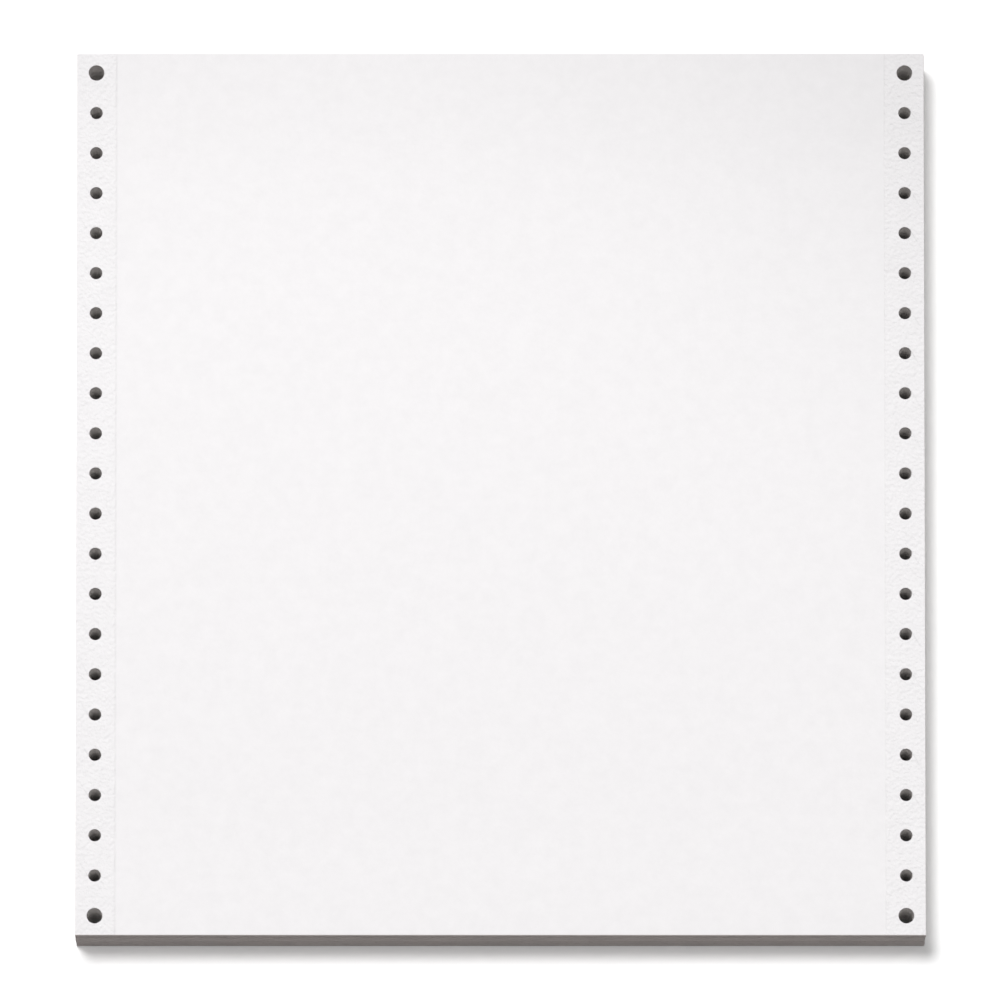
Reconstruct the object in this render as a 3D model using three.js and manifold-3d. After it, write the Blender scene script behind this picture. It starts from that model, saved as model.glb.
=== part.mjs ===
import * as THREE from 'three';
import { mergeVertices } from 'three/addons/utils/BufferGeometryUtils.js';
import Module from 'manifold-3d';

// Fanfold continuous form paper. One long web of bond paper is folded to and fro at
// perforated creases into a flat pile, and a tear-off strip down each side carries the
// sprocket holes. Millimetres, +Z up, the crease nearest the viewer at -Y, origin in the
// middle of the underside.

// Form: sprocket holes stand half an inch apart, and a page is a whole number of pitches
const holePitch = 12.7;
const holesPerSide = 22;
const pageWidth = 241.3;
const stripWidth = 12.7;
const holeDiameter = 3.97;
const cornerHoleDiameter = 5;

// Web: paper thickness, and the creases that stand at the front of the pile. Each of them
// joins two pages, and the creases between them stand at the back.
const sheetThickness = 0.1;
const frontCreases = 150;

// Creases: a rounded crown wraps two pages, and the pile stands a little higher there
const crownDepth = 0.16;
const crownSteps = 4;
const foldRise = 0.6;
const risePitches = 3;

// Facets round a sprocket hole
const holeSides = 20;

// Everything below follows from the sizes above
const pageDepth = holePitch * holesPerSide;
const formWidth = pageWidth + 2 * stripWidth;
const middleHeight = 2 * frontCreases * sheetThickness;
const endHeight = middleHeight + foldRise;
const crownHeight = endHeight / frontCreases;
const edgeHeight = crownHeight / 2;
const frontY = -pageDepth / 2;
const backY = pageDepth / 2;

// Height of the top page at a distance from the nearest crease
function topHeight(fromCrease) {
  const t = Math.min(fromCrease / (risePitches * holePitch), 1);
  const eased = t * t * (3 - 2 * t);
  return endHeight - foldRise * eased;
}

// The outside of a crease round two pages: half an ellipse from one groove to the next,
// listed upwards without its upper groove. side is -1 at the front and 1 at the back.
function crown(creaseY, side, lower) {
  const points = [];
  for (let step = 0; step < crownSteps; step++) {
    const angle = Math.PI * step / crownSteps;
    const y = creaseY - side * crownDepth * (1 - Math.sin(angle));
    const z = lower + crownHeight * (1 - Math.cos(angle)) / 2;
    points.push(new THREE.Vector2(y, z));
  }
  return points;
}

// Front end, from the table up: every crease joins a page to the one above it
function frontEnd() {
  const points = [];
  for (let crease = 0; crease < frontCreases; crease++) {
    points.push(...crown(frontY, -1, crease * crownHeight));
  }
  points.push(new THREE.Vector2(frontY + crownDepth, endHeight));
  return points;
}

// Back end, from the table up: the web starts and stops here, so the lowest and the highest
// page end in a cut edge with square corners, and creases half a crown off fill the rest
function backEnd() {
  const points = [
    new THREE.Vector2(backY, 0),
    new THREE.Vector2(backY, edgeHeight),
  ];
  for (let crease = 0; crease < frontCreases - 1; crease++) {
    points.push(...crown(backY, 1, edgeHeight + crease * crownHeight));
  }
  points.push(
    new THREE.Vector2(backY - crownDepth, endHeight - edgeHeight),
    new THREE.Vector2(backY, endHeight - edgeHeight),
    new THREE.Vector2(backY, endHeight),
  );
  return points;
}

// Side view of the whole web: up the back, over the top page, down the front
function webProfile() {
  const points = backEnd();
  for (let step = 1; step <= risePitches; step++) {
    const inset = step * holePitch;
    points.push(new THREE.Vector2(backY - inset, topHeight(inset)));
  }
  for (let step = risePitches; step >= 1; step--) {
    const inset = step * holePitch;
    points.push(new THREE.Vector2(frontY + inset, topHeight(inset)));
  }
  points.push(...frontEnd().reverse());
  return new THREE.Shape(points);
}

// Turns a drawing of the side view, drawn in Y and Z, into a block across the form's width
function acrossWidth(shape, width) {
  const geometry = new THREE.ExtrudeGeometry(shape, { depth: width, bevelEnabled: false });
  geometry.translate(0, 0, -width / 2);
  const alongY = new THREE.Vector3(0, 1, 0);
  const alongZ = new THREE.Vector3(0, 0, 1);
  const alongX = new THREE.Vector3(1, 0, 0);
  return geometry.applyMatrix4(new THREE.Matrix4().makeBasis(alongY, alongZ, alongX));
}

// Punch for one sprocket hole, longer than the pile is high
function punch(x, y, diameter) {
  const length = endHeight * 2;
  const geometry = new THREE.CylinderGeometry(diameter / 2, diameter / 2, length, holeSides);
  geometry.rotateX(Math.PI / 2);
  return geometry.translate(x, y, middleHeight / 2);
}

// A punch for every hole of both strips; the four in the corners are wider
function punches() {
  const list = [];
  const columnX = formWidth / 2 - stripWidth / 2;
  for (const x of [-columnX, columnX]) {
    for (let row = 0; row < holesPerSide; row++) {
      const y = frontY + (row + 0.5) * holePitch;
      const corner = row === 0 || row === holesPerSide - 1;
      list.push(punch(x, y, corner ? cornerHoleDiameter : holeDiameter));
    }
  }
  return list;
}

const wasm = await Module();
wasm.setup();

// Closed three.js geometry to a solid that can be cut
function toSolid(geometry) {
  const bare = geometry.clone();
  bare.deleteAttribute('normal');
  bare.deleteAttribute('uv');
  const merged = mergeVertices(bare, 1e-5);
  return new wasm.Manifold(new wasm.Mesh({
    numProp: 3,
    vertProperties: new Float32Array(merged.attributes.position.array),
    triVerts: new Uint32Array(merged.index.array),
  }));
}

// Cut solid back to a three.js geometry
function toGeometry(solid) {
  const mesh = solid.getMesh();
  const geometry = new THREE.BufferGeometry();
  geometry.setAttribute('position', new THREE.BufferAttribute(mesh.vertProperties, 3));
  geometry.setIndex(new THREE.BufferAttribute(mesh.triVerts, 1));
  geometry.computeVertexNormals();
  return geometry;
}

function fanfoldWeb() {
  let solid = toSolid(acrossWidth(webProfile(), formWidth));
  for (const hole of punches()) {
    solid = solid.subtract(toSolid(hole));
  }
  const paper = new THREE.MeshStandardMaterial({
    color: 0xf6f4f5,
    roughness: 0.92,
    metalness: 0,
  });
  const mesh = new THREE.Mesh(toGeometry(solid), paper);
  mesh.name = 'fanfold_web';
  return mesh;
}

const group = new THREE.Group();
group.add(fanfoldWeb());

export default group;
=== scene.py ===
import math
import random

import bpy
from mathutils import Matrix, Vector


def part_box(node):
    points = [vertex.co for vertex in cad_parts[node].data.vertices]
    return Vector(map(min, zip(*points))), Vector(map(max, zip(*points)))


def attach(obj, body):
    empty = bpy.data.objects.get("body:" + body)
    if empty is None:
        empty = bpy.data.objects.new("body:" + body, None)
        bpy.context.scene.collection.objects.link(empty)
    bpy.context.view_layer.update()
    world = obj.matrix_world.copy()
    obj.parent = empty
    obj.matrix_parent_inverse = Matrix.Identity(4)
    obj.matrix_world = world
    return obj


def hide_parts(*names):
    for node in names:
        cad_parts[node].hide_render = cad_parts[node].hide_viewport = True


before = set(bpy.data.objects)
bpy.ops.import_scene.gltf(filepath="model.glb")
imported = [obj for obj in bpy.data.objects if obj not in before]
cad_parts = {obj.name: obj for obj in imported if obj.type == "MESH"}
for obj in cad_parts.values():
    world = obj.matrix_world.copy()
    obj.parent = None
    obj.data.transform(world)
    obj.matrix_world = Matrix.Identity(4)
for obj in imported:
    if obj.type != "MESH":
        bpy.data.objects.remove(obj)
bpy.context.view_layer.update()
WEB_LOW, WEB_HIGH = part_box("fanfold_web")

bl_info = {
    "name": "Fanfold form paper",
    "version": (1, 0, 0),
    "blender": (4, 5, 0),
    "location": "3D View > Sidebar > Fanfold",
    "description": "A pile of zig-zag folded form paper with sprocket strips, and its studio",
    "category": "Add Mesh",
}

MM = 0.001

# The pile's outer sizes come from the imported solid
FORM_WIDTH = WEB_HIGH.x - WEB_LOW.x
PAGE_DEPTH = WEB_HIGH.y - WEB_LOW.y
PILE_HEIGHT = WEB_HIGH.z


class FormSizes(bpy.types.PropertyGroup):
    """Real sizes of the form and of its folded pile"""

    hole_pitch: bpy.props.FloatProperty(
        name="Hole pitch", description="Distance between sprocket holes, half an inch",
        default=12.7 * MM, subtype="DISTANCE", unit="LENGTH")
    hole_diameter: bpy.props.FloatProperty(
        name="Hole diameter", description="Width of a sprocket hole",
        default=3.97 * MM, subtype="DISTANCE", unit="LENGTH")
    corner_hole_diameter: bpy.props.FloatProperty(
        name="Corner hole diameter", description="Width of the hole in each corner",
        default=5.0 * MM, subtype="DISTANCE", unit="LENGTH")
    strip_width: bpy.props.FloatProperty(
        name="Strip width", description="Width of a tear-off strip",
        default=12.7 * MM, subtype="DISTANCE", unit="LENGTH")
    slit_width: bpy.props.FloatProperty(
        name="Slit width", description="Width of one cut of the tear-off perforation",
        default=0.06 * MM, subtype="DISTANCE", unit="LENGTH")
    tie_length: bpy.props.FloatProperty(
        name="Tie length", description="Uncut paper between two cuts of the perforation",
        default=0.4 * MM, subtype="DISTANCE", unit="LENGTH")
    page_count: bpy.props.IntProperty(
        name="Pages", description="Pages in the pile, an even number", default=300, min=4)
    crown_depth: bpy.props.FloatProperty(
        name="Crown depth", description="How far a crease stands out from its groove",
        default=0.16 * MM, subtype="DISTANCE", unit="LENGTH")
    fold_rise: bpy.props.FloatProperty(
        name="Rise over the creases", description="Extra height of the pile at both creases",
        default=0.6 * MM, subtype="DISTANCE", unit="LENGTH")
    rise_length: bpy.props.FloatProperty(
        name="Length of the rise", description="Distance from a crease to the flat middle",
        default=38.1 * MM, subtype="DISTANCE", unit="LENGTH")
    wander: bpy.props.FloatProperty(
        name="Wander", description="How far a page may lie out of line with the pile",
        default=0.3 * MM, subtype="DISTANCE", unit="LENGTH")


class PaperColours(bpy.types.PropertyGroup):
    """Colours of the paper's faces, as sRGB hex values"""

    page: bpy.props.StringProperty(
        name="Page", description="Flat face of a page", default="F6F4F5")
    page_cloud: bpy.props.StringProperty(
        name="Page cloud", description="Denser patches of fibre in a page", default="F2F0F1")
    # The crease's paper white is tinted a little darker and warmer than the page: painted warm
    # bounce light and shade between the folds
    crease: bpy.props.StringProperty(
        name="Crease", description="Outside of a folded crease", default="F0EAE8")
    # Painted shade: the colour of the cuts and gaps along a crease, which are dark only from the
    # shade in them
    crease_cut_shade: bpy.props.StringProperty(
        name="Crease cut", description="Cuts and gaps along a crease", default="C4B9B5")
    edge: bpy.props.StringProperty(
        name="Edge", description="Cut edge of a page", default="F2EFED")
    # Painted shade: the colour of the gaps between pages at the cut edges
    edge_gap_shade: bpy.props.StringProperty(
        name="Edge gap", description="Gaps between pages", default="CFC8C4")
    bore: bpy.props.StringProperty(
        name="Bore", description="Punched wall of a sprocket hole", default="FAF8F7")
    # Painted shade: the colour of the gaps between pages inside a hole
    bore_gap_shade: bpy.props.StringProperty(
        name="Bore gap", description="Gaps between pages in a hole", default="E2DEDB")


class StudioSetup(bpy.types.PropertyGroup):
    """Camera and light of the studio"""

    elevation: bpy.props.FloatProperty(
        name="Camera elevation", description="Height of the camera above the horizon",
        default=math.radians(82.3), subtype="ANGLE", unit="ROTATION")
    distance: bpy.props.FloatProperty(
        name="Camera distance", description="Distance from the camera to the top page",
        default=7.0, subtype="DISTANCE", unit="LENGTH")
    frame_width: bpy.props.FloatProperty(
        name="Frame width", description="Width of the picture at the top page",
        default=313.6 * MM, subtype="DISTANCE", unit="LENGTH")
    key_strength: bpy.props.FloatProperty(
        name="Key light", description="Light from above, in watts per square metre",
        default=2.22)
    sky_strength: bpy.props.FloatProperty(
        name="Sky light", description="Even light from all round", default=0.08)
    spot_power: bpy.props.FloatProperty(
        name="Spot light", description="Pool of light on the page, in watts", default=7.7)
    panel_power: bpy.props.FloatProperty(
        name="Panel light", description="Low light on the right and back faces, in watts",
        default=0.85)


def hex_to_linear(value):
    """sRGB hex colour to linear RGBA"""
    channels = [int(value[i:i + 2], 16) / 255 for i in (0, 2, 4)]
    linear = [c / 12.92 if c <= 0.04045 else ((c + 0.055) / 1.055) ** 2.4 for c in channels]
    return (*linear, 1.0)


def add_node(tree, kind, settings=None, links=None):
    """Adds a node, sets its values and inputs, and links its inputs to other sockets"""
    made = tree.nodes.new(kind)
    for key, value in (settings or {}).items():
        if isinstance(key, str) and key in made.bl_rna.properties:
            setattr(made, key, value)
        else:
            made.inputs[key].default_value = value
    for key, socket in (links or {}).items():
        tree.links.new(socket, made.inputs[key])
    return made


def new_material(name):
    """Makes a material, and gives its node tree with nothing in it but an output node"""
    material = bpy.data.materials.new(name)
    material.use_nodes = True
    tree = material.node_tree
    tree.nodes.clear()
    return tree, add_node(tree, "ShaderNodeOutputMaterial")


def uncoated_bond_paper(name, colours, strip_width):
    """Wood-free bond paper, 75 g/m2, formed on a wire and left uncoated. The eye gets a dead
    matt white with faint clouds where the fibres lie denser, and no shine at any angle."""
    tree, output = new_material(name)
    place = add_node(tree, "ShaderNodeTexCoord").outputs["Object"]

    # Formation clouds of bond paper are 3 to 6 mm across
    cloud_size = 4 * MM
    clouds = add_node(tree, "ShaderNodeTexNoise", {
        "Scale": 1 / cloud_size, "Detail": 3.0, "Roughness": 0.6}, {"Vector": place})
    # Fibres lie along the web and are 1 to 3 mm long. They are drawn about five times too
    # wide, so that they show at all.
    fibre_width = 0.15 * MM
    fibre_length = 1.2 * MM
    along = add_node(tree, "ShaderNodeMapping", {
        "Scale": (1 / fibre_width, 1 / fibre_length, 1 / fibre_width)}, {"Vector": place})
    fibres = add_node(tree, "ShaderNodeTexNoise", {
        "Scale": 1.0, "Detail": 2.0}, {"Vector": along.outputs["Vector"]})
    fibre_share = 0.35
    dense = add_node(tree, "ShaderNodeMath", {
        "operation": "MULTIPLY_ADD", 1: fibre_share},
        {0: fibres.outputs["Fac"], 2: clouds.outputs["Fac"]})
    cloudy = add_node(tree, "ShaderNodeMapRange", {
        "From Min": 0.45, "From Max": 0.95}, {"Value": dense.outputs["Value"]})
    colour = add_node(tree, "ShaderNodeMix", {
        "data_type": "RGBA", 6: hex_to_linear(colours.page),
        7: hex_to_linear(colours.page_cloud)}, {0: cloudy.outputs["Result"]})

    # The strips are grainier than the page: a faint pebble starts at the perforation
    pebble_size = 1.1 * MM
    page_share = 0.1
    start = FORM_WIDTH / 2 - strip_width
    fade = 0.3 * MM
    pebble = add_node(tree, "ShaderNodeTexNoise", {
        "Scale": 1 / pebble_size, "Detail": 1.0}, {"Vector": place})
    axes = add_node(tree, "ShaderNodeSeparateXYZ", None, {"Vector": place})
    aside = add_node(tree, "ShaderNodeMath", {"operation": "ABSOLUTE"}, {0: axes.outputs["X"]})
    in_strip = add_node(tree, "ShaderNodeMapRange", {
        "From Min": start - fade, "From Max": start + fade, "To Min": page_share},
        {"Value": aside.outputs["Value"]})
    pressed = add_node(tree, "ShaderNodeMath", {"operation": "MULTIPLY"}, {
        0: pebble.outputs["Fac"], 1: in_strip.outputs["Result"]})

    # A sheet cockles a little over 20 mm, and its felt side is rough over 0.4 mm
    cockle_size = 20 * MM
    felt_size = 0.4 * MM
    cockle = add_node(tree, "ShaderNodeTexNoise", {
        "Scale": 1 / cockle_size, "Detail": 1.0}, {"Vector": place})
    felt = add_node(tree, "ShaderNodeTexNoise", {
        "Scale": 1 / felt_size, "Detail": 3.0}, {"Vector": place})
    soft = add_node(tree, "ShaderNodeBump", {
        "Strength": 1.0, "Distance": 0.05 * MM}, {"Height": cockle.outputs["Fac"]})
    dimpled = add_node(tree, "ShaderNodeBump", {
        "Strength": 1.0, "Distance": 0.4 * MM},
        {"Height": pressed.outputs["Value"], "Normal": soft.outputs["Normal"]})
    rough = add_node(tree, "ShaderNodeBump", {
        "Strength": 0.6, "Distance": 0.02 * MM},
        {"Height": felt.outputs["Fac"], "Normal": dimpled.outputs["Normal"]})
    shader = add_node(tree, "ShaderNodeBsdfPrincipled", {
        "Roughness": 0.92, "IOR": 1.5, "Specular IOR Level": 0.25},
        {"Base Color": colour.outputs[2], "Normal": rough.outputs["Normal"]})
    tree.links.new(shader.outputs["BSDF"], output.inputs["Surface"])


def stacked_paper(name, face, gap, nick_length, nick_depth, relief_depth):
    """Many sheets seen from the edge: bond paper cut or folded and then piled. The eye gets
    fine level lines from end to end, each a little lighter or darker than the next, and
    small dark nicks where single sheets fall back. Lines and nicks are painted shade: they
    mix the face colour towards the gap colour, the painted shade between sheets. nick_depth
    is how far a nick's painted shade goes towards the gap's, from 0 to 1."""
    tree, output = new_material(name)
    place = add_node(tree, "ShaderNodeTexCoord").outputs["Object"]

    # A sheet is 0.1 mm thick. The lines, painted shade between sheets, are drawn higher, as
    # groups of sheets, so that they show, and they run the whole length of the pile.
    line_height = 0.35 * MM
    line_length = 4000 * MM
    run = add_node(tree, "ShaderNodeMapping", {
        "Scale": (1 / line_length, 1 / line_length, 1 / line_height)}, {"Vector": place})
    lines = add_node(tree, "ShaderNodeTexNoise", {
        "Scale": 1.0, "Detail": 2.0, "Roughness": 0.6}, {"Vector": run.outputs["Vector"]})
    # Nicks, painted shade where sheets fall back, are one or two sheets high
    nick_height = 0.2 * MM
    short = add_node(tree, "ShaderNodeMapping", {
        "Scale": (1 / nick_length, 1 / nick_length, 1 / nick_height)}, {"Vector": place})
    spots = add_node(tree, "ShaderNodeTexNoise", {
        "Scale": 1.0, "Detail": 2.0, "Roughness": 0.6}, {"Vector": short.outputs["Vector"]})
    line_shade = add_node(tree, "ShaderNodeMapRange", {
        "From Min": 0.35, "From Max": 0.8, "To Max": 0.8}, {"Value": lines.outputs["Fac"]})
    nick_shade = add_node(tree, "ShaderNodeMapRange", {
        "From Min": 0.55, "From Max": 0.8, "To Max": nick_depth},
        {"Value": spots.outputs["Fac"]})
    # Painted shade: the lines and nicks darken the face colour towards the gap colour
    dark = add_node(tree, "ShaderNodeMath", {"operation": "ADD", "use_clamp": True},
                    {0: line_shade.outputs["Result"], 1: nick_shade.outputs["Result"]})
    colour = add_node(tree, "ShaderNodeMix", {
        "data_type": "RGBA", 6: hex_to_linear(face), 7: hex_to_linear(gap)},
        {0: dark.outputs["Value"]})
    relief = add_node(tree, "ShaderNodeBump", {
        "Strength": 0.5, "Distance": relief_depth, "invert": True},
        {"Height": dark.outputs["Value"]})
    shader = add_node(tree, "ShaderNodeBsdfPrincipled", {
        "Roughness": 0.95, "IOR": 1.5, "Specular IOR Level": 0.2},
        {"Base Color": colour.outputs[2], "Normal": relief.outputs["Normal"]})
    tree.links.new(shader.outputs["BSDF"], output.inputs["Surface"])


def paper_materials(colours, sizes):
    """The paper's faces in the order of the meshes' material indices. Both pieces of the
    pile share them, so they are made only once."""
    names = ("uncoated_bond_paper", "creased_bond_paper", "slit_bond_paper",
             "punched_bond_paper")
    page, crease, edge, bore = names
    if page not in bpy.data.materials:
        uncoated_bond_paper(page, colours, sizes.strip_width)
        # Creases are scored and pressed, with the nicks of the cross perforation drawn as
        # painted shade
        stacked_paper(crease, colours.crease, colours.crease_cut_shade,
                      nick_length=1.6 * MM, nick_depth=0.5, relief_depth=0.06 * MM)
        # The web is slit to width with a rotary knife, so its edges are clean and pale; the gaps
        # between pages and the sheets that fall back are painted shade
        stacked_paper(edge, colours.edge, colours.edge_gap_shade,
                      nick_length=30 * MM, nick_depth=0.25, relief_depth=0.04 * MM)
        # A punch leaves short fibres; the gaps between single sheets show as short lines of
        # painted shade
        stacked_paper(bore, colours.bore, colours.bore_gap_shade,
                      nick_length=2 * MM, nick_depth=0.5, relief_depth=0.03 * MM)
    return [bpy.data.materials[name] for name in names]


# Indices of the materials in both meshes
PAGE, CREASE, EDGE, BORE = range(4)

# Groups of pages that slipped together, and the seed that all slips are drawn from
FEWEST_PAGES, MOST_PAGES = 9, 27
SLIP_SEED = 11

# Shares of the pile's wander: a bundle's slip, a page's own slip, a bundle's skew and the
# lean, which is a slow wave up the pile with this many pages to the radian
BUNDLE_SLIP = 0.45
PAGE_SLIP = 0.3
BUNDLE_SKEW = 0.15
LEAN = 0.25
LEAN_PAGES = 43.0

# How far the groove under a page lies back: under a bundle, under a loose page and under
# any other page, and how likely a page is to be loose
BUNDLE_GROOVE = 0.32 * MM
LOOSE_GROOVE = 0.16 * MM
TIGHT_GROOVE = 0.03 * MM
LOOSE_CHANCE = 0.12


class PileShape:
    """Where each page of the pile lies. Levels count half pages from the table up."""

    def __init__(self, sizes):
        self.sizes = sizes
        self.block_pages = sizes.page_count - 1
        self.draw = random.Random(SLIP_SEED)
        self.bundles = self.make_bundles()
        self.make_pages()

    def make_bundles(self):
        """Groups of pages that slipped together, as a list of (first page, page after last)"""
        bundles = []
        first = 0
        while first < self.block_pages:
            last = first + self.draw.randint(FEWEST_PAGES, MOST_PAGES)
            if self.block_pages - last < FEWEST_PAGES:
                last = self.block_pages
            bundles.append((first, last))
            first = last
        return bundles

    def make_pages(self):
        """Slip of every page to the side and along, its skew, and the groove under it"""
        wander = self.sizes.wander
        self.slip_x, self.slip_y, self.skew, self.groove = [], [], [], []
        for first, last in self.bundles:
            bundle_x = self.draw.uniform(-BUNDLE_SLIP, BUNDLE_SLIP) * wander
            bundle_y = self.draw.uniform(-BUNDLE_SLIP, BUNDLE_SLIP) * wander
            bundle_skew = self.draw.uniform(-BUNDLE_SKEW, BUNDLE_SKEW) * wander
            for page in range(first, last):
                lean = math.sin(page / LEAN_PAGES + 1) * LEAN * wander
                page_x = self.draw.uniform(-PAGE_SLIP, PAGE_SLIP) * wander
                page_y = self.draw.uniform(-PAGE_SLIP, PAGE_SLIP) * wander
                self.slip_x.append(bundle_x + lean + page_x)
                self.slip_y.append(bundle_y - lean + page_y)
                self.skew.append(bundle_skew)
                loose = self.draw.random() < LOOSE_CHANCE
                groove = LOOSE_GROOVE if loose else TIGHT_GROOVE
                if page == first and page > 0:
                    groove = BUNDLE_GROOVE
                self.groove.append(groove)

    def top(self, y):
        """Height of the pile at a distance along the page: flat, and higher at the creases"""
        from_crease = PAGE_DEPTH / 2 - abs(y)
        t = min(max(from_crease / self.sizes.rise_length, 0), 1)
        return PILE_HEIGHT - self.sizes.fold_rise * t * t * (3 - 2 * t)

    def cockle(self, x, y):
        """Slight waves of the top page, never above the pile's height: long ones of about
        200 and 270 mm, and short ones of 90 mm aslant. The factors are radians per metre."""
        wave_height = 0.05 * MM
        short_share = 0.6
        wave = math.sin(x * 31 + 1.3) * math.sin(y * 23 + 0.4)
        wave += short_share * math.sin(x * 57 - y * 41 + 2.0)
        return -wave_height * (1 + short_share - wave)

    def height(self, level, x, y):
        """Height of a level at a place on the page. The waves fade out towards the table."""
        share = level / (2 * self.sizes.page_count)
        return share * (self.top(y) + self.cockle(x, y) * share)

    def page_at(self, level):
        """The page that a level belongs to"""
        return min(level // 2, self.block_pages - 1)

    def side(self, hand, level, y):
        """X of a cut edge. hand is -1 at the left and 1 at the right."""
        page = self.page_at(level)
        inset = self.sizes.wander
        if level % 2 == 0:
            inset += self.groove[page]
        slip = self.slip_x[page] + self.skew[page] * y / PAGE_DEPTH
        return hand * (FORM_WIDTH / 2 - inset) + slip

    def crease(self, end, level, x):
        """Y of the creases at one end. end is -1 at the front and 1 at the back."""
        page = self.page_at(level)
        # A crown takes four half pages, and at the back it starts one page later
        phase = level % 4 if end < 0 else (level + 2) % 4
        loose_end = end > 0 and level < 2
        inset = self.sizes.wander
        if not loose_end:
            out = math.sin(math.pi * phase / 4)
            inset += self.sizes.crown_depth * (1 - out)
            if phase == 0:
                inset += self.groove[page]
        # Both pages of a crown share the slip of its lower page
        lower = max(page - (phase // 2), 0)
        slip = self.slip_y[lower] + self.skew[lower] * x / FORM_WIDTH
        return end * (PAGE_DEPTH / 2 - inset) + slip


def hole_places(sizes):
    """Side, row, centre and radius of each sprocket hole"""
    rows = round(PAGE_DEPTH / sizes.hole_pitch)
    column_x = FORM_WIDTH / 2 - sizes.strip_width / 2
    for hand in (-1, 1):
        for row in range(rows):
            y = -PAGE_DEPTH / 2 + (row + 0.5) * PAGE_DEPTH / rows
            corner = row in (0, rows - 1)
            diameter = sizes.corner_hole_diameter if corner else sizes.hole_diameter
            yield hand, row, hand * column_x, y, diameter / 2


def zip_rings(outer, inner, centre, points):
    """Triangles between two rings of point numbers round the same centre, one for each
    side of either ring, in order of the angle from -180 degrees up"""
    def angle(number):
        return math.atan2(points[number][1] - centre[1], points[number][0] - centre[0])

    outer = sorted(outer, key=angle)
    inner = sorted(inner, key=angle)
    faces = []
    i = j = 0
    while i < len(outer) or j < len(inner):
        next_outer = angle(outer[i]) if i < len(outer) else math.inf
        next_inner = angle(inner[j]) if j < len(inner) else math.inf
        if next_outer <= next_inner:
            faces.append((outer[i - 1], outer[i], inner[j - 1]))
            i += 1
        else:
            faces.append((outer[i - 1], inner[j], inner[j - 1]))
            j += 1
    return faces


def mesh_piece(name, points, faces, indices, materials, smooth):
    """Makes the object of one piece of paper and puts it on the pile's body. indices are
    the faces' materials, and smooth has those that are shaded smooth."""
    sharp_angle = math.radians(30)
    mesh = bpy.data.meshes.new(name)
    mesh.from_pydata(points, [], faces)
    for material in materials:
        mesh.materials.append(material)
    mesh.polygons.foreach_set("material_index", indices)
    mesh.polygons.foreach_set("use_smooth", [index in smooth for index in indices])
    mesh.update()
    mesh.set_sharp_from_angle(angle=sharp_angle)
    piece = bpy.data.objects.new(name, mesh)
    bpy.context.scene.collection.objects.link(piece)
    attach(piece, "root")
    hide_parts("fanfold_web")


def make_folded_pages(shape, materials):
    """All pages but the top one, as one closed mesh: walls of creases and cut edges from
    level to level, the bores through them, and a flat page below and above"""
    sizes = shape.sizes
    columns = round(FORM_WIDTH / sizes.hole_pitch)
    rows = round(PAGE_DEPTH / sizes.hole_pitch)
    levels = 2 * shape.block_pages
    points, faces, indices = [], [], []

    def grid_point(level, i, j):
        """The point of a level at column i and row j of the pitch grid"""
        x = (i / columns - 0.5) * FORM_WIDTH
        y = (j / rows - 0.5) * PAGE_DEPTH
        if i in (0, columns):
            x = shape.side(-1 if i == 0 else 1, level, y)
        if j in (0, rows):
            y = shape.crease(-1 if j == 0 else 1, level, x)
        return x, y, shape.height(level, x, y)

    border = [(i, 0) for i in range(columns)]
    border += [(columns, j) for j in range(rows)]
    border += [(i, rows) for i in range(columns, 0, -1)]
    border += [(0, j) for j in range(rows, 0, -1)]
    wall = [CREASE] * columns + [EDGE] * rows + [CREASE] * columns + [EDGE] * rows

    for level in range(levels + 1):
        points += [grid_point(level, i, j) for i, j in border]
    around = len(border)
    for level in range(levels):
        for n in range(around):
            a, b = level * around + n, level * around + (n + 1) % around
            faces.append((a, b, b + around, a + around))
            indices.append(wall[n])

    # Bores: a straight tube through each bundle, so that the bundles' slips make ledges.
    # They take only a part of the slip along the page.
    hole_sides = 24
    share_along = 0.7
    rings = {}
    for hand, row, x, y, radius in hole_places(sizes):
        rim = []
        for first, last in shape.bundles:
            middle = (first + last) // 2
            shift_x = shape.slip_x[middle]
            shift_y = shape.slip_y[middle] * share_along
            bottom = 0 if first == 0 else 2 * first + 1
            top = levels if last == shape.block_pages else 2 * last - 1
            for level in (bottom, top):
                start = len(points)
                for side in range(hole_sides):
                    angle = math.tau * side / hole_sides - math.pi
                    px = x + shift_x + radius * math.cos(angle)
                    py = y + shift_y + radius * math.sin(angle)
                    points.append((px, py, shape.height(level, px, py)))
                rim.append(start)
        for low, high in zip(rim, rim[1:]):
            for side in range(hole_sides):
                following = (side + 1) % hole_sides
                faces.append((low + following, low + side, high + side, high + following))
                indices.append(BORE)
        rings[hand, row] = (rim[0], rim[-1], (x, y))

    # The lowest and the highest page: whole squares of the pitch grid, and a holed one
    # in each strip
    for level, at_top in ((0, False), (levels, True)):
        number = {}
        for n, place in enumerate(border):
            number[place] = level * around + n
        for i in range(1, columns):
            for j in range(1, rows):
                number[i, j] = len(points)
                points.append(grid_point(level, i, j))
        for i in range(columns):
            for j in range(rows):
                square = [number[i, j], number[i + 1, j], number[i + 1, j + 1], number[i, j + 1]]
                if i in (0, columns - 1):
                    low, high, centre = rings[-1 if i == 0 else 1, j]
                    start = high if at_top else low
                    inner = list(range(start, start + hole_sides))
                    made = zip_rings(square, inner, centre, points)
                else:
                    made = [tuple(square)]
                if not at_top:
                    made = [tuple(reversed(face)) for face in made]
                faces += made
                indices += [PAGE] * len(made)
    mesh_piece("folded_pages", points, faces, indices, materials, smooth=(PAGE, BORE))


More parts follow.
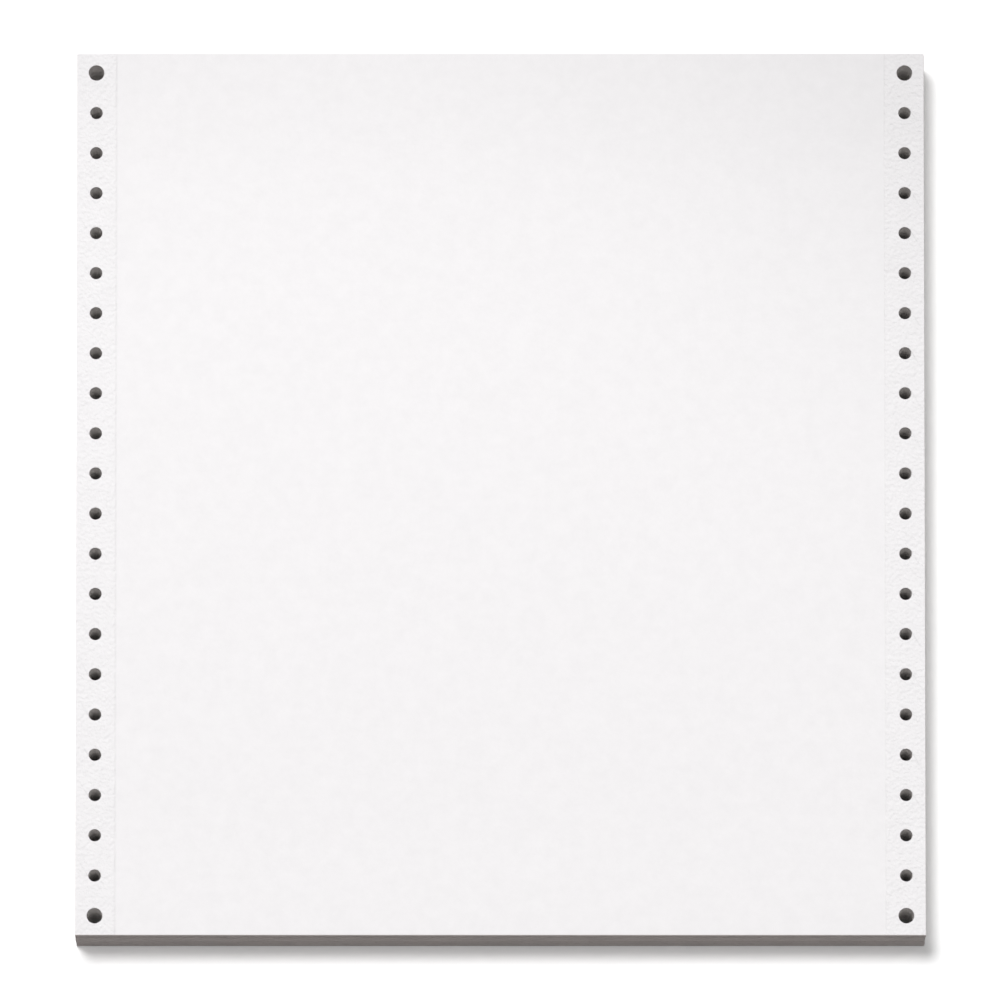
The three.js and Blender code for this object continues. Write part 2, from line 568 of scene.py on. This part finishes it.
def make_top_page(shape, materials):
    """The page on top, as one thin sheet with its holes and with every cut of the tear-off
    perforation. The real web goes on into the pile at the front and ends at the back."""
    sizes = shape.sizes
    columns = round((FORM_WIDTH - 2 * sizes.strip_width) / sizes.hole_pitch)
    rows = round(PAGE_DEPTH / sizes.hole_pitch)
    cuts = 8
    pitch = PAGE_DEPTH / rows
    depth = PAGE_DEPTH - 2 * sizes.wander
    too_short = 0.0001 * MM
    plan, faces = [], []
    numbers = {}

    def number(x, y):
        """The number of a point of the plan, made once for each place"""
        key = (round(x / MM, 4), round(y / MM, 4))
        if key not in numbers:
            numbers[key] = len(plan)
            plan.append((x, y))
        return numbers[key]

    def row_y(share):
        """Y of a number of hole pitches from the front; both ends keep inside the pile"""
        y = -PAGE_DEPTH / 2 + share * pitch
        return min(max(y, -depth / 2), depth / 2)

    # Where the cuts of the perforation start and stop: (hole pitches from the front,
    # whether a cut starts there)
    tie_share = sizes.tie_length / pitch
    breaks = []
    for cell in range(rows):
        for cut in range(cuts):
            share = cell + cut / cuts
            # A hole's square starts in the middle of a tie
            middle = [(share, False)] if cut == 0 else []
            breaks += [(share - tie_share / 2, False), *middle, (share + tie_share / 2, True)]
    breaks = [(max(share, 0), opens) for share, opens in breaks] + [(rows, False)]
    ys = [row_y(share) for share, opens in breaks]

    inner_x = FORM_WIDTH / 2 - sizes.strip_width - sizes.slit_width / 2
    outer_x = inner_x + sizes.slit_width
    edge_x = FORM_WIDTH / 2 - sizes.wander

    # The page between the strips
    xs = [inner_x * (2 * i / columns - 1) for i in range(columns + 1)]
    for low, high in zip(ys, ys[1:]):
        if high - low < too_short:
            continue
        for left, right in zip(xs, xs[1:]):
            faces.append([number(left, low), number(right, low),
                          number(right, high), number(left, high)])

    # The ties between the cuts of the perforation
    for (share, opens), low, high in zip(breaks, ys, ys[1:]):
        if opens or high - low < too_short:
            continue
        for left, right in ((-outer_x, -inner_x), (inner_x, outer_x)):
            faces.append([number(left, low), number(right, low),
                          number(right, high), number(left, high)])

    # The strips, a square round each hole
    hole_sides = 40
    for hand, row, x, y, radius in hole_places(sizes):
        low, high = row_y(row), row_y(row + 1)
        outer = [number(hand * edge_x, low), number(hand * edge_x, high)]
        outer += [number(hand * outer_x, low), number(hand * outer_x, high)]
        outer += [number(hand * outer_x, value) for value in ys if low < value < high]
        inner = []
        for side in range(hole_sides):
            angle = math.tau * side / hole_sides - math.pi
            inner.append(number(x + radius * math.cos(angle), y + radius * math.sin(angle)))
        faces += [list(face) for face in zip_rings(sorted(set(outer)), inner, (x, y), plan)]

    # The page's upper face, its lower face just clear of the pile, and a wall along every
    # edge that only one face uses
    clearance = 0.01 * MM
    levels = 2 * sizes.page_count
    points = [(x, y, shape.height(levels, x, y)) for x, y in plan]
    points += [(x, y, shape.height(levels - 2, x, y) + clearance) for x, y in plan]
    under = len(plan)
    edges = {(face[n - 1], face[n]) for face in faces for n in range(len(face))}
    walls = [(b, a, a + under, b + under) for a, b in edges if (b, a) not in edges]
    walls.sort()
    tops = [tuple(face) for face in faces]
    bottoms = [tuple(n + under for n in reversed(face)) for face in faces]
    indices = [PAGE] * (len(tops) + len(bottoms)) + [EDGE] * len(walls)
    mesh_piece("top_page", points, tops + bottoms + walls, indices, materials,
               smooth=(PAGE,))


class FORM_OT_folded_pages(bpy.types.Operator):
    """Build the folded pages under the top one"""

    bl_idname = "form.folded_pages"
    bl_label = "Folded pages"

    def execute(self, context):
        scene = context.scene
        materials = paper_materials(scene.form_colours, scene.form_sizes)
        make_folded_pages(PileShape(scene.form_sizes), materials)
        return {"FINISHED"}


class FORM_OT_top_page(bpy.types.Operator):
    """Build the top page with its perforated tear-off strips"""

    bl_idname = "form.top_page"
    bl_label = "Top page"

    def execute(self, context):
        scene = context.scene
        materials = paper_materials(scene.form_colours, scene.form_sizes)
        make_top_page(PileShape(scene.form_sizes), materials)
        return {"FINISHED"}


def white_paper_sweep():
    """White seamless paper sweep. It throws light up at the creases as white paper does,
    and to the camera it also glows enough to be plain white with the pile's shadow on it.
    Under the pile there is no glow, so that the bores stay dark."""
    reflectance = 0.93
    glow_strength = 0.285
    margin = 1 * MM
    tree, output = new_material("white_paper_sweep")
    place = add_node(tree, "ShaderNodeTexCoord").outputs["Object"]
    axes = add_node(tree, "ShaderNodeSeparateXYZ", None, {"Vector": place})
    beside = []
    for axis, half in (("X", FORM_WIDTH / 2), ("Y", PAGE_DEPTH / 2)):
        away = add_node(tree, "ShaderNodeMath", {"operation": "ABSOLUTE"},
                        {0: axes.outputs[axis]})
        beside.append(add_node(tree, "ShaderNodeMath", {
            "operation": "GREATER_THAN", 1: half - margin}, {0: away.outputs["Value"]}))
    outside = add_node(tree, "ShaderNodeMath", {"operation": "MAXIMUM"},
                       {0: beside[0].outputs["Value"], 1: beside[1].outputs["Value"]})
    rays = add_node(tree, "ShaderNodeLightPath")
    seen = add_node(tree, "ShaderNodeMath", {"operation": "MULTIPLY"},
                    {0: outside.outputs["Value"], 1: rays.outputs["Is Camera Ray"]})
    paper = add_node(tree, "ShaderNodeBsdfDiffuse", {
        "Color": (reflectance, reflectance, reflectance, 1)})
    glow = add_node(tree, "ShaderNodeEmission", {
        "Color": (1, 1, 1, 1), "Strength": glow_strength})
    white = add_node(tree, "ShaderNodeAddShader")
    tree.links.new(paper.outputs["BSDF"], white.inputs[0])
    tree.links.new(glow.outputs["Emission"], white.inputs[1])
    mixed = add_node(tree, "ShaderNodeMixShader", None, {0: seen.outputs["Value"]})
    tree.links.new(paper.outputs["BSDF"], mixed.inputs[1])
    tree.links.new(white.outputs["Shader"], mixed.inputs[2])
    tree.links.new(mixed.outputs["Shader"], output.inputs["Surface"])


def make_floor():
    """A flat floor, 24 m square, so that its end is out of sight in a view from 3 degrees"""
    half = 12.0
    white_paper_sweep()
    mesh = bpy.data.meshes.new("sweep")
    corners = [(-half, -half, 0), (half, -half, 0), (half, half, 0), (-half, half, 0)]
    mesh.from_pydata(corners, [], [(0, 1, 2, 3)])
    mesh.materials.append(bpy.data.materials["white_paper_sweep"])
    floor = bpy.data.objects.new("sweep", mesh)
    bpy.context.scene.collection.objects.link(floor)


def add_lamp(name, kind, place, target, **settings):
    """A lamp at a place, pointing at a target, that the camera doesn't see"""
    data = bpy.data.lights.new(name, kind)
    for key, value in settings.items():
        setattr(data, key, value)
    lamp = bpy.data.objects.new(name, data)
    lamp.location = place
    lamp.rotation_mode = "QUATERNION"
    lamp.rotation_quaternion = (Vector(target) - Vector(place)).to_track_quat("-Z", "Y")
    lamp.visible_camera = False
    bpy.context.scene.collection.objects.link(lamp)


def make_camera(studio):
    """A long lens high above the pile, leaning a few degrees to the front. It aims a little
    in front of the page's middle, so that the front face has room below."""
    data = bpy.data.cameras.new("camera")
    data.sensor_width = 36.0
    data.lens = data.sensor_width * studio.distance / studio.frame_width
    data.clip_start = 0.1
    data.clip_end = 40.0
    camera = bpy.data.objects.new("camera", data)
    back = Vector((0, -math.cos(studio.elevation), math.sin(studio.elevation)))
    aim = Vector((-0.15 * MM, -2.2 * MM, PILE_HEIGHT))
    camera.location = aim + back * studio.distance
    camera.rotation_mode = "QUATERNION"
    camera.rotation_quaternion = (-back).to_track_quat("-Z", "Y")
    bpy.context.scene.collection.objects.link(camera)
    bpy.context.scene.camera = camera


def make_world(studio):
    """Even grey light from all round, white to the camera"""
    world = bpy.data.worlds.new("studio")
    world.use_nodes = True
    tree = world.node_tree
    tree.nodes.clear()
    seen_strength = 1.0
    rays = add_node(tree, "ShaderNodeLightPath")
    strength = add_node(tree, "ShaderNodeMix", {2: studio.sky_strength, 3: seen_strength},
                        {0: rays.outputs["Is Camera Ray"]})
    light = add_node(tree, "ShaderNodeBackground", {"Color": (1, 1, 1, 1)},
                     {"Strength": strength.outputs[0]})
    output = add_node(tree, "ShaderNodeOutputWorld")
    tree.links.new(light.outputs["Background"], output.inputs["Surface"])
    bpy.context.scene.world = world


class FORM_OT_studio(bpy.types.Operator):
    """Build the floor, the camera and the lights"""

    bl_idname = "form.studio"
    bl_label = "Studio"

    def execute(self, context):
        scene = context.scene
        studio = scene.form_studio
        make_floor()
        make_camera(studio)
        make_world(studio)
        # High above, from the back left: the shadow falls short, to the right and the front
        add_lamp("key", "SUN", place=(-0.12, 0.135, 1.0), target=(0, 0, 0),
                 energy=studio.key_strength, angle=math.radians(10))
        # A soft pool of light that fades towards the far right corner of the page
        add_lamp("pool", "SPOT", place=(-0.16, 0.2, 0.92), target=(-0.07, -0.17, PILE_HEIGHT),
                 energy=studio.spot_power, spot_size=math.radians(51.6), spot_blend=0.66,
                 shadow_soft_size=0.07)
        # Low panels at the right and at the back, so that those faces don't go grey
        add_lamp("right_panel", "AREA", place=(0.9, 0.25, 0.2), target=(0.1, 0, 0),
                 energy=studio.panel_power, size=0.3)
        add_lamp("back_panel", "AREA", place=(-0.25, 0.9, 0.2), target=(0, 0.1, 0),
                 energy=studio.panel_power, size=0.3)
        # A film curve would turn the white paper grey
        scene.view_settings.view_transform = "Standard"
        return {"FINISHED"}


class FORM_PT_panel(bpy.types.Panel):
    """Fanfold form paper"""

    bl_idname = "FORM_PT_panel"
    bl_label = "Fanfold form paper"
    bl_space_type = "VIEW_3D"
    bl_region_type = "UI"
    bl_category = "Fanfold"

    def draw(self, context):
        layout = self.layout
        for group in (context.scene.form_sizes, context.scene.form_colours,
                      context.scene.form_studio):
            column = layout.column()
            for name in group.__annotations__:
                column.prop(group, name)
        layout.operator(FORM_OT_folded_pages.bl_idname)
        layout.operator(FORM_OT_top_page.bl_idname)
        layout.operator(FORM_OT_studio.bl_idname)


CLASSES = (FormSizes, PaperColours, StudioSetup, FORM_OT_folded_pages, FORM_OT_top_page,
           FORM_OT_studio, FORM_PT_panel)


def register():
    for cls in CLASSES:
        bpy.utils.register_class(cls)
    bpy.types.Scene.form_sizes = bpy.props.PointerProperty(type=FormSizes)
    bpy.types.Scene.form_colours = bpy.props.PointerProperty(type=PaperColours)
    bpy.types.Scene.form_studio = bpy.props.PointerProperty(type=StudioSetup)


def unregister():
    del bpy.types.Scene.form_sizes
    del bpy.types.Scene.form_colours
    del bpy.types.Scene.form_studio
    for cls in reversed(CLASSES):
        bpy.utils.unregister_class(cls)


def main():
    register()
    bpy.ops.form.folded_pages()
    bpy.ops.form.top_page()
    bpy.ops.form.studio()


if __name__ == "__main__":
    main()
